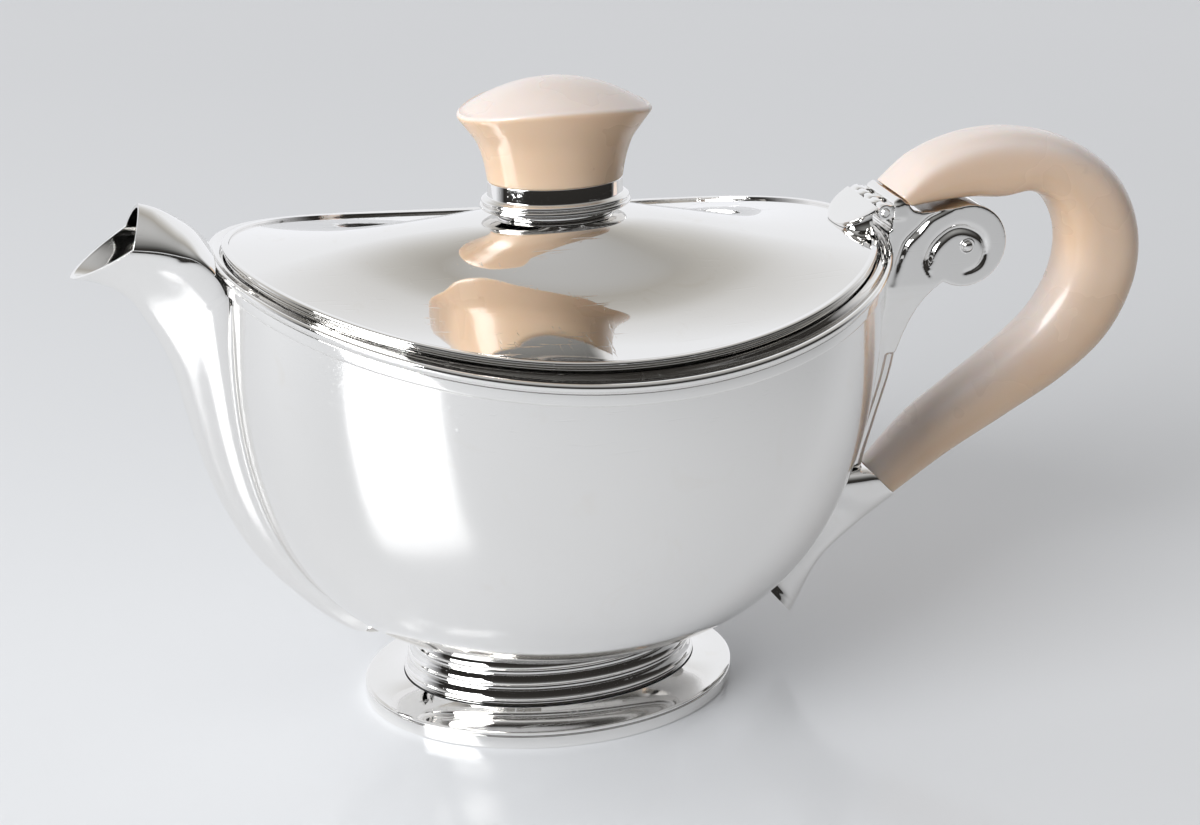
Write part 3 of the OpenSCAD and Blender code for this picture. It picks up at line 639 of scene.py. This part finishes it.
def plate_with_hole(outline, hole, y0, y1):
    """A plate in the XZ plane from y0 to y1, with one hole."""
    bm = bmesh.new()
    edges = []
    for points in (outline, hole):
        vs = [bm.verts.new((x, y0, z)) for x, z in points]
        edges += [bm.edges.new((vs[i], vs[(i + 1) % len(vs)])) for i in range(len(vs))]
    bmesh.ops.triangle_fill(bm, use_beauty=True, use_dissolve=False, edges=edges)
    got = bmesh.ops.extrude_face_region(bm, geom=list(bm.faces))
    moved = [g for g in got["geom"] if isinstance(g, bmesh.types.BMVert)]
    bmesh.ops.translate(bm, vec=(0, y1 - y0, 0), verts=moved)
    bmesh.ops.recalc_face_normals(bm, faces=bm.faces)
    bm.verts.ensure_lookup_table()
    bm.verts.index_update()
    verts = [tuple(v.co) for v in bm.verts]
    faces = [tuple(v.index for v in f.verts) for f in bm.faces]
    bm.free()
    return verts, faces


def knuckle(k, s, bore, reach):
    """Knuckle k of five: a barrel round the pin, with a web that reaches towards s."""
    pitch, radius = HINGE_WIDTH / 5, 1.8
    y, half = pitch * (k - 2), (pitch - 0.3) / 2
    outline = []
    for i in range(29):
        t = math.radians(mix(-124, 124, i / 28))
        outline.append((HINGE_X - s * radius * math.cos(t), HINGE_Z + radius * math.sin(t)))
    outline += [(HINGE_X + s * reach, HINGE_Z + 1.49), (HINGE_X + s * reach, HINGE_Z - 1.2)]
    hole = [(HINGE_X + bore * math.cos(t), HINGE_Z + bore * math.sin(t)) for t in turns(32)]
    return plate_with_hole(outline, hole, y - half, y + half)


def build_hinge():
    make("hinge_fixed_knuckles", *join([knuckle(k, 1, 1.01, 2.1) for k in (0, 2, 4)]), "pot",
         "silver", SILVER_TRIM, ["hinge_knuckles"], 40, bevel=0.1)
    make("hinge_lid_knuckles", *join([knuckle(k, -1, 1.05, 2.07) for k in (1, 3)]), "lid",
         "silver", SILVER_TRIM, ["lid_knuckles"], 40, bevel=0.1)
    make("hinge_long_pin", *rod_y(HINGE_X, HINGE_Z, 1.0, HINGE_WIDTH / 2 + 0.2, 0.3), "pot",
         "dark_silver", SILVER_TRIM, ["hinge_pin"])


# ---- bracket, strap, socket and handle ---------------------------------------------------

# The handle's line: outer point, inner point (from the handle's far end and the rim), half width.
MARKS = [(HANDLE_X + a, RIM + b, HANDLE_X + c, RIM + d, HALF * e) for a, b, c, d, e in (
    (-65.6, 17.2, -61.6, 13.6, 1), (-58, 24.2, -54.5, 13.9, 1), (-47, 28.4, -46.5, 14.1, 1),
    (-34.5, 29.2, -38, 13.4, 1), (-20, 25.7, -30.5, 14.2, 1), (-7.8, 17, -24.2, 10.5, 1),
    (-1, 4.4, -20.4, 2.4, 1), (-0.4, -9.6, -20.9, -7.3, 1), (-6.2, -23.3, -26, -17, 0.98),
    (-17.2, -33.6, -35.2, -25.3, 0.95), (-32.2, -42.7, -46.7, -33.4, 0.88),
    (-47.2, -51.4, -57.2, -41, 0.8), (-61.1, -60.6, -68.3, -52.9, 0.72))]
MOUTH = MARKS[-1]


def by_volute(points):
    """Points in the XZ plane given from the volute's centre."""
    return [(VOL_X + x, VOL_Z + z) for x, z in points]


SEAM = spline(by_volute([(-3.7, 9.8), (-6.1, 9.0), (-9.7, 7.5), (-12.4, 4.9), (-15.3, 2.1),
                         (-16.7, -1.0), (-17.8, -4.9), (-18.6, -8.7)]), 16)
SPIRAL = spline(by_volute([(-10.1, -6.2), (-9.8, -3.0), (-8.2, 0.8), (-4.6, 3.8), (-0.9, 4.3),
                           (3.1, 2.4), (4.7, -0.8), (3.9, -4.3), (2.0, -5.9), (-0.8, -6.7)]), 10)


def section(m, n, power, web=1.0, web_power=0.7):
    """A rounded section between a mark's inner and outer points, narrowed to web inside."""
    row = []
    for t in turns(n):
        q = spow(math.cos(t), power)
        f = mix(1.0, web, ((1 - q) / 2) ** web_power)
        row.append((mix(m[2], m[0], (1 + q) / 2), -m[4] * f * spow(math.sin(t), power),
                    mix(m[3], m[1], (1 + q) / 2)))
    return row


def soften(obj, times):
    smooth = obj.modifiers.new("soften", "SMOOTH")
    smooth.factor = 0.5
    smooth.iterations = times


def casting(name, parts, voxel, shape):
    """Solids merged into one softly rounded casting, then shaped point by point."""
    obj = mesh_object(name, *join(parts))
    merge = obj.modifiers.new("merge", "REMESH")
    merge.mode = "VOXEL"
    merge.voxel_size = voxel * MM
    soften(obj, 6)
    apply_modifiers(obj)
    co = np.empty(len(obj.data.vertices) * 3)
    obj.data.vertices.foreach_get("co", co)
    co = shape(co.reshape(-1, 3) / MM)
    obj.data.vertices.foreach_set("co", (co * MM).ravel())
    obj.data.update()
    soften(obj, 2)
    apply_modifiers(obj)
    return obj


def groove(co, curve, reach, depth, width):
    """Press a groove into both flat sides; depth and width are functions of the way along."""
    flat = np.abs(np.abs(co[:, 1]) - HALF) < 0.9
    idx = np.where(flat & reach)[0]
    d = np.hypot(co[idx, None, 0] - curve[None, :, 0], co[idx, None, 2] - curve[None, :, 1])
    s = d.argmin(1) / (len(curve) - 1)
    co[idx, 1] -= np.sign(co[idx, 1]) * depth(s) * np.exp(-(d.min(1) / width(s)) ** 2)


def engrave(co):
    groove(co, SEAM, co[:, 0] < VOL_X - 4.2,
           lambda s: np.interp(s, [0, 0.2, 0.45, 0.8, 1], [0.2, 0.6, 1.2, 0.7, 0.0]),
           lambda s: np.interp(s, [0, 0.5, 1], [0.45, 0.7, 0.9]))
    groove(co, SPIRAL, np.hypot(co[:, 0] - VOL_X, co[:, 2] - VOL_Z) < VOL_R + 1.5,
           lambda s: 1.25 * np.clip(1 - s, 0, 1) ** 0.55 * np.clip(s * 9, 0.35, 1),
           lambda s: np.interp(s, [0, 0.45, 1], [0.95, 0.85, 0.4]))
    return co


def strap_rings():
    """The fluted strap, from the lower socket up the back of the bowl to the bracket."""
    low, high = MOUTH[3] + 0.25, RIM - 3.8
    marks = spline([(MOUTH[2] - 0.4, 4.4), (MOUTH[2] + 2.4, 5.0), (VOL_X - 14.6, 5.8),
                    (VOL_X - 12.4, 6.8), (VOL_X - 7, 8.1)], 12)
    rings = []
    for i, (x_out, w) in enumerate(marks):
        z = mix(low, high, i / (len(marks) - 1))
        fade = min(1.0, (len(marks) - 1 - i) / 14)
        row = []
        for k in range(65):
            t = math.pi * (k / 64 - 0.5)
            y = w * math.sin(t) * (1 - 0.12 * math.cos(t) ** 2)
            x_in = bowl_end(min(z, WIDEST - 1), y, 1) + 0.08
            a = abs(math.degrees(t))
            dip = 1.3 * math.exp(-((a - 55) / 11) ** 2) + 0.55 * math.exp(-((a - 18) / 10) ** 2)
            q = max(0.05, math.cos(t) ** 0.62)
            row.append((mix(x_in, x_out, q) - dip * fade, y, z))
        back = [(bowl_end(min(z, WIDEST - 1), y, 1) + 0.07, y, z) for _, y, _ in reversed(row)]
        rings.append(row + back)
    return rings


def build_bracket():
    front = HINGE_X + 2.16
    root = BACK_X + MOULD_OUT + 0.1
    arc = [(VOL_X + VOL_R * math.cos(math.radians(a)), VOL_Z + VOL_R * math.sin(math.radians(a)))
           for a in range(-123, 96, 5)]
    low_edge = by_volute([(-11.7, -8.8), (-8.6, -8.8), (-6.6, -8.3)])
    seat = by_volute([(-3.2, 9.55), (-8.0, 9.05), (-11.8, 9.1), (-13.9, 9.7), (-15.9, 11.7),
                      (-17.7, 13.1), (-19.2, 12.1)])
    side = [(root, VOL_Z - 8.8)] + low_edge + arc + seat + [
        (front, VOL_Z + 11.4), (front, VOL_Z + 5.4), (root, VOL_Z + 5.25)]
    plate = loft([[(x, y, z) for x, z in side] for y in (-HALF, HALF)])

    y0, y1 = HINGE_WIDTH / 2 - 0.1, HALF - 0.2
    wing = [[(front, y0, z), (front, -y0, z), (front + 1.5, -y0 + 0.3, z), (front + 4.4, -y1, z),
             (front + 4.4, y1, z), (front + 1.5, y0 - 0.3, z)]
            for z in (HINGE_Z - 2, HINGE_Z + 1.45)]

    arm = []
    for dz, dx, w in ((-26.2, -15.6, 5.8), (-21.2, -14.2, 6.6), (-17.7, -12.9, 7.2),
                      (-14.7, -11.5, 7.8), (-12.2, -9.8, 8.2), (-10.2, -7.9, 8.4),
                      (-8.6, -5.9, HALF), (-7.4, -4.6, HALF)):
        x, z = VOL_X + dx, VOL_Z + dz
        arm.append([(x, w - 0.4, z), (x - 0.4, w, z), (root, w, z),
                    (root, -w, z), (x - 0.4, -w, z), (x, -w + 0.4, z)])

    obj = casting("handle_bracket", [plate, loft(wing), loft(strap_rings()), loft(arm)], 0.28,
                  engrave)
    finish_piece(obj, "pot", SILVER_TRIM, ["upper_bracket", "rear_strap"], 60)


def build_pin_heads():
    """The handle pin's domed head and the raised ring round it, on each side of the volute."""
    dome = ((0.001, 1.0), (0.5, 0.964), (0.95, 0.802), (1.18, 0.505), (1.2, 0.1), (1.2, -0.98))
    collar = ((1.3, -0.5), (1.3, 0.02), (1.55, 0.14), (1.85, 0.1), (2.05, -0.1), (2.05, -0.5))
    parts = []
    for s in (-1, 1):
        for rows, count, hollow in ((dome, 32, False), (collar, 40, True)):
            parts.append(loft([[(VOL_X + r * math.cos(t), s * (HALF + h), VOL_Z + r * math.sin(t))
                                for t in turns(count)] for r, h in rows], loop=hollow))
    make("volute_pin_heads", *join(parts), "pot", "dark_silver", SILVER_TRIM,
         ["handle_pin", "volute_scrolls"], 50)


def build_socket():
    """The cup round the handle's lower end and the fin that runs down the bowl from it."""
    outer, inner, half = np.array(MOUTH[:2]), np.array(MOUTH[2:4]), MOUTH[4]
    across = (outer - inner) / np.linalg.norm(outer - inner)
    out = np.array([-across[1], across[0]])
    count = 72

    def cup(inset, depth):
        a = outer - inset * across - depth * out
        b = inner + inset * across - depth * out
        return section((*a, *b, half - inset), count, 0.6)

    # outer edge from the mouth (x, z), drop of the root on the bowl, width, thickness of the web
    fins = [(0, 0, 0, 1, 1), (-3.9, -3.2, 1.6, 0.94, 0.9), (-8.8, -7.1, 7.6, 0.84, 0.55),
            (-15.6, -12.9, 14, 0.76, 0.30), (-19.7, -18.1, 19, 0.70, 0.28),
            (-23.3, -25.4, 22.4, 0.66, 0.36), (-24.6, -28.2, 22.9, 0.70, 0.5),
            (-25.6, -29.7, 23.1, 0.80, 0.55)]
    rows = []
    for dx, dz, drop, width, web in fins:
        z = inner[1] - drop
        x = inner[0] if drop == 0 else bowl_end(z, 0, 1) + 0.5
        rows.append((outer[0] + dx, outer[1] + dz, x, z, half * width, web))
    path = spline(rows, 8)
    rings = [cup(*c) for c in ((1.45, 4.2), (1.3, 4.0), (1.3, 0.15), (1.15, 0.0), (0.25, 0.0),
                               (0.05, 0.15))]
    for i, p in enumerate(path[1:], 1):
        rings.append(section(p[:5], count, mix(0.6, 0.75, i / len(path)), p[5], 0.45))
    make("handle_lower_socket", *loft(rings), "pot", "silver", SILVER_TRIM, ["lower_socket"], 40)


def end_rings(ring, behind, rows):
    """Copies of an end ring, each scaled about its middle and moved outward."""
    points = np.array(ring)
    middle = points.mean(0)
    out = middle - np.array(behind).mean(0)
    out /= np.linalg.norm(out)
    return [[tuple(middle + (p - middle) * size + out * along) for p in points]
            for size, along in rows]


def build_handle():
    path = spline(MARKS, 16)
    path[:, 0] -= 0.05
    rings = [section(m, 96, mix(0.60, 0.85, min(1, i / (len(path) - 1) * 1.1)))
             for i, m in enumerate(path)]
    start = end_rings(rings[0], rings[1],
                      ((0.86, 0.0), (0.93, 0.0), (0.975, -0.06), (0.995, -0.2)))
    spigot = end_rings(rings[-1], rings[-2], ((0.74, -0.02), (0.74, 3.8)))
    make("handle_carved", *loft(start + rings[1:] + spigot), "pot", "ivory", IVORY, ["handle"], 42)


# ---- spout -------------------------------------------------------------------------------

def spout_root(z, w):
    return bowl_end(z, w - 1.0, -1) - 0.15


def spout_marks():
    """Marks up the spout: keel (x, z), side edge (x, z), half width."""
    low = []
    for a, b, c, d in ((34, 0.5, 2.8, 2.2), (26, 2, 4.8, 3.4), (15, 11.5, 13, 5), (4, 25, 26, 6.6),
                       (-3.6, 41, 41, 8), (-8, 57, 56, 9.3), (-11, 71, 70, 10.6)):
        z = BOWL_BASE + c
        low.append((FRONT_X + a, BOWL_BASE + b, spout_root(z, d), z, d))
    high = [(FRONT_X - 13.6, RIM_FRONT - 18, FRONT_X + 0.7, RIM_FRONT - 9, SPOUT_HALF),
            (FRONT_X - 16.4, RIM_FRONT - 12.5, FRONT_X - 0.6, RIM_FRONT - 2.4, SPOUT_HALF),
            (LIP_X + 12, LIP_Z - 5.9, LIP_X + 26.4, RIM_FRONT + 2.6, SPOUT_HALF),
            (LIP_X + 8.4, LIP_Z - 3, LIP_X + 22.6, LIP_Z + 6, mix(MOUTH_HALF, SPOUT_HALF, 0.62)),
            (LIP_X + 4.4, LIP_Z - 1.1, LIP_X + 18, LIP_Z + 7.1, mix(MOUTH_HALF, SPOUT_HALF, 0.3)),
            (LIP_X, LIP_Z, LIP_X + 13, LIP_Z + 7.7, MOUTH_HALF)]
    return low, high


def wall_section(far, side, w, power, hollow=0.0):
    """A curved wall 1 mm thick, from side to side through the far point."""
    far, side = np.array(far), np.array(side)
    inward = (side - far) / np.linalg.norm(side - far)

    def path(f, h):
        row = []
        for k in range(49):
            t = math.pi * k / 48
            q = math.sin(t) ** power
            pull = 1 - hollow * math.sin(2 * t) ** 2
            q, y = q * mix(pull, 1, q ** 4), h * spow(math.cos(t), power) * mix(1, pull, 0.6)
            row.append((mix(side[0], f[0], q), y, mix(side[1], f[1], q)))
        return row
    return path(far, w) + path(far + inward, w - 1.0)[::-1]


def build_spout():
    low, high = spout_marks()
    root_top = RIM_FRONT - MOULD_H - BAND_H
    path = [(m[0], m[1], spout_root(m[3], m[4]) if m[3] < root_top else m[2], m[3], m[4])
            for m in spline(low + high, 10)]
    rings = []
    for i, m in enumerate(path):
        s = i / len(path)
        rings.append(wall_section(m[:2], m[2:4], m[4], mix(0.95, 1.15, s),
                                  0.16 * math.sin(math.pi * min(1, s * 1.02)) ** 0.7))
    make("spout_lower_shell", *loft(rings), "pot", "silver", SILVER, ["spout_trough"], 42,
         bevel=0.3, segments=3)

    tops = spline([(FRONT_X + 0.2, RIM_FRONT + 0.8), (FRONT_X - 3.8, RIM_FRONT + 5.9),
                   (LIP_X + 22.9, LIP_Z + 11.6), (LIP_X + 19, LIP_Z + 14),
                   (LIP_X + 15.6, LIP_Z + 15.2)], 10)
    sides = path[len(path) - len(tops):]
    rings = [wall_section(tops[i], (sides[i][2], sides[i][3] + 0.04), sides[i][4],
                          mix(1, 1.3, i / len(tops))) for i in range(3, len(tops))]
    make("spout_upper_cover", *loft(rings[::-1]), "pot", "silver", SILVER_TRIM, ["spout_roof"], 42,
         bevel=0.3, segments=3)

    radius = 0.7
    beads = spline(low[1:] + [(0, 0, 0, root_top - 2, SPOUT_HALF)], 12)
    parts = []
    for s in (-1, 1):
        rings = []
        for i, m in enumerate(beads):
            r = radius * min(1, 0.3 + i / 10, 0.3 + (len(beads) - 1 - i) / 10)
            y = m[4] + radius + GAP
            x = bowl_end(m[3], y, -1) - 0.6 * r
            rings.append([(x + r * math.cos(t), s * y + s * r * math.sin(t), m[3])
                          for t in turns(20)])
        parts.append(loft(rings))
    make("spout_side_beads", *join(parts), "pot", "silver", SILVER_TRIM, ["spout_beads"], 60)


# ---- knob --------------------------------------------------------------------------------

def build_knob():
    """The flared knob; rows are half length, height over the collar, saddle of the edge."""
    base = CROWN + COLLAR_H
    rows = list(spline([(15.55, 0.2, 0), (15.7, 1.2, 0), (15.95, 2.8, 0), (16.6, 5.6, 0.1),
                        (17.9, 9.1, 0.6), (20.1, 12.2, 1.5), (21.5, 14.0, 2.2)], 8))
    rows += list(spline([(21.5, 14.0, 2.2), (21.95, 14.65, 2.4), (22.08, 15.1, 2.55),
                         (21.9, 15.55, 2.55), (21.5, 15.95, 2.5)], 4)[1:])
    rows += [(22.1 * s, 15.2 + 7.55 * (1 - s ** 2.1), 2.6 * s ** 3)
             for s in np.linspace(0.955, 0.01, 30)]
    rows = [(14.9, 0.03, 0), (15.3, 0.04, 0)] + rows
    rings = [ellipse(a, a * KNOB_RATIO, LID_X, base + h, N_SMALL, saddle) for a, h, saddle in rows]
    make("knob_carved", *loft(rings), "lid", "ivory", IVORY, ["knob"], 45)


def build_collar():
    """The ringed collar; rows are half length and height over the lid's crown."""
    rows = [(13.0, 0.03), (13.3, 0.12), (13.4, 0.7), (13.3, 1.2)]
    rows += list(spline([(14.6, 1.42), (16.2, 1.55), (17.1, 1.9), (17.4, 2.4), (17.2, 2.9),
                         (16.75, 3.1)], 5))
    rows += list(spline([(16.7, 3.15), (16.95, 3.35), (17.05, 3.65), (16.9, 4.0), (16.4, 4.3),
                         (15.85, 4.45)], 4))
    rows += [(15.6, 4.6), (15.5, 4.8), (15.5, COLLAR_H - 0.25), (15.4, COLLAR_H - 0.08),
             (15.2, COLLAR_H)]
    rings = [ellipse(a, a * KNOB_RATIO, LID_X, CROWN + h, N_SMALL) for a, h in rows]
    bore = [(3, COLLAR_H), (2.3, COLLAR_H - 0.1), (2.3, 0.03)]
    rings += [ellipse(r, r, LID_X, CROWN + h, N_SMALL) for r, h in bore]
    make("knob_ring_collar", *loft(rings, loop=True), "lid", "silver", SILVER_TRIM,
         ["knob_collar"], 42)


def paint_hidden_fittings():
    for name in ("knob_stud", "knob_washer", "knob_nut"):
        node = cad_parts[name]
        node.data.materials.clear()
        node.data.materials.append(DARK)


# ---- floor, light and camera -------------------------------------------------------------

def build_floor():
    mat, n, shader, co = new_material("pale_floor")
    n.link(ramp(n, noise(n, co, 1.6, 3.0), [(0.3, (0.79, 0.80, 0.82)), (0.7, (0.82, 0.83, 0.85))]),
           shader.inputs["Base Color"])
    n.link(span(n, noise(n, co, 5.0, 3.0), 0.3, 0.7, 0.13, 0.18), shader.inputs["Roughness"])
    bpy.ops.mesh.primitive_plane_add(size=8.0, location=(0, 0, 0))
    floor = bpy.context.object
    floor.name = "floor"
    floor.data.materials.append(mat)


def build_world():
    """Light from all round: a pale room behind the pot and a dark one on the camera's side."""
    world = bpy.data.worlds.new("studio")
    bpy.context.scene.world = world
    world.use_nodes = True
    world.node_tree.nodes.clear()
    n = Nodes(world.node_tree)
    out = n.add("ShaderNodeOutputWorld")
    back = n.add("ShaderNodeBackground")
    n.link(back.outputs[0], out.inputs[0])
    axes = n.add("ShaderNodeSeparateXYZ")
    n.link(n.add("ShaderNodeTexCoord").outputs["Generated"], axes.inputs[0])
    up = axes.outputs[2]
    behind = ramp(n, up, [(0.0, (0.74, 0.75, 0.78)), (0.48, (0.70, 0.71, 0.73)),
                          (0.62, (0.58, 0.58, 0.58)), (0.77, (0.43, 0.42, 0.40)),
                          (0.88, (0.33, 0.315, 0.29)), (1.0, (0.42, 0.42, 0.42))])
    room = ramp(n, up, [(0.0, (0.018, 0.017, 0.016)), (0.34, (0.03, 0.028, 0.026)),
                        (0.52, (0.08, 0.08, 0.078)), (0.78, (0.22, 0.22, 0.215)),
                        (1.0, (0.42, 0.42, 0.42))])
    n.link(colour_mix(n, room, behind, span(n, axes.outputs[1], -0.12, 0.35)), back.inputs[0])
    back.inputs[1].default_value = 1.27


def soft_box(name, at, aim, size, power, colour):
    data = bpy.data.lights.new(name, "AREA")
    data.shape = "RECTANGLE"
    data.size, data.size_y = size
    data.energy = power
    data.color = colour
    obj = bpy.data.objects.new(name, data)
    bpy.context.scene.collection.objects.link(obj)
    obj.location = at
    obj.rotation_euler = (Vector(aim) - Vector(at)).to_track_quat("-Z", "Y").to_euler()


def add_camera(at, yaw, pitch, lens):
    """A camera turned yaw degrees to the left of +Y and tipped pitch degrees down."""
    yaw, pitch = math.radians(yaw), math.radians(pitch)
    ahead = Vector((-math.sin(yaw) * math.cos(pitch), math.cos(yaw) * math.cos(pitch),
                    -math.sin(pitch)))
    data = bpy.data.cameras.new("camera")
    data.sensor_width = 36.0
    data.lens = lens
    data.clip_start = 0.01
    camera = bpy.data.objects.new("camera", data)
    bpy.context.scene.collection.objects.link(camera)
    camera.location = at
    camera.rotation_euler = ahead.to_track_quat("-Z", "Y").to_euler()
    bpy.context.scene.camera = camera


build_foot()
build_bowl()
build_rim_band()
build_rim_moulding()
build_lid_seat()
build_lid()
build_leaf()
build_hinge()
build_bracket()
build_pin_heads()
build_socket()
build_handle()
build_spout()
build_knob()
build_collar()
paint_hidden_fittings()

build_floor()
build_world()
soft_box("window_left", (-1.12, -0.68, 0.76), (0, 0, 0.05), (0.86, 0.95), 23, (0.97, 0.985, 1.0))
add_camera((-0.1202, -0.4761, 0.2628), -15.6, 21.5, 67.8)

view = bpy.context.scene.view_settings
view.view_transform = "Standard"
view.look = "None"
